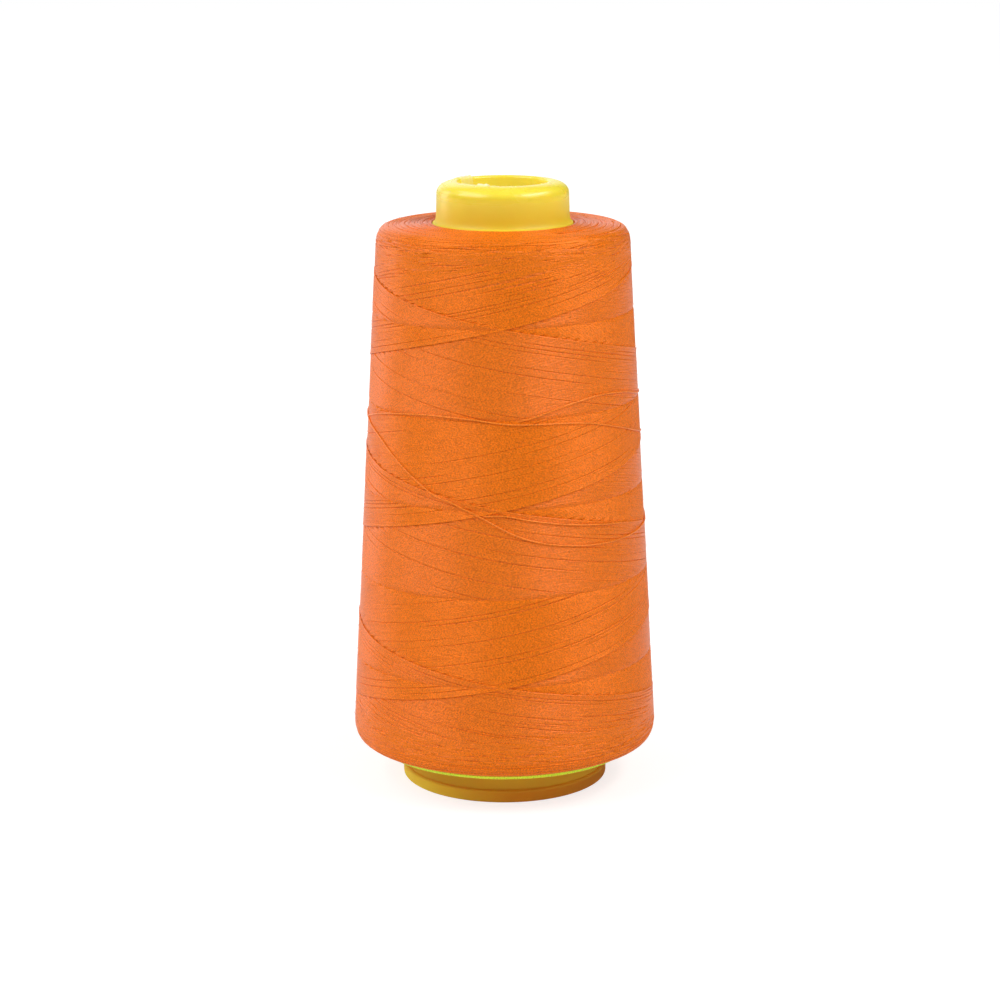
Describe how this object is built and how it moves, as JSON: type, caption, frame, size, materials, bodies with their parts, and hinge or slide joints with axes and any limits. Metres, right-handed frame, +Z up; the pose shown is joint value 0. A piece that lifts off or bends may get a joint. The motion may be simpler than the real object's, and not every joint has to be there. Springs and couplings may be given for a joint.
{
  "type": "cone of thread",
  "caption": "Cone of sewing thread: a hollow tapered plastic cone with a low foot and a rolled nose, carrying a tall cross-wound package of orange thread.",
  "frame": {"origin": "middle of the foot's flat ring, on the cone's axis, at the surface that the cone stands on", "axes": "+Z up along the cone's axis, from the foot to the nose; -Y is the side that the picture shows"},
  "size_m": [0.058, 0.058, 0.1146],
  "materials": {
    "plastic": "smooth injection-moulded yellow plastic with a soft gloss",
    "thread": "tightly cross-wound spun polyester thread with a soft sheen along its turns"
  },
  "bodies": {
    "root": {"cone_tube": "plastic", "thread_package": "thread"}
  },
  "joints": []
}
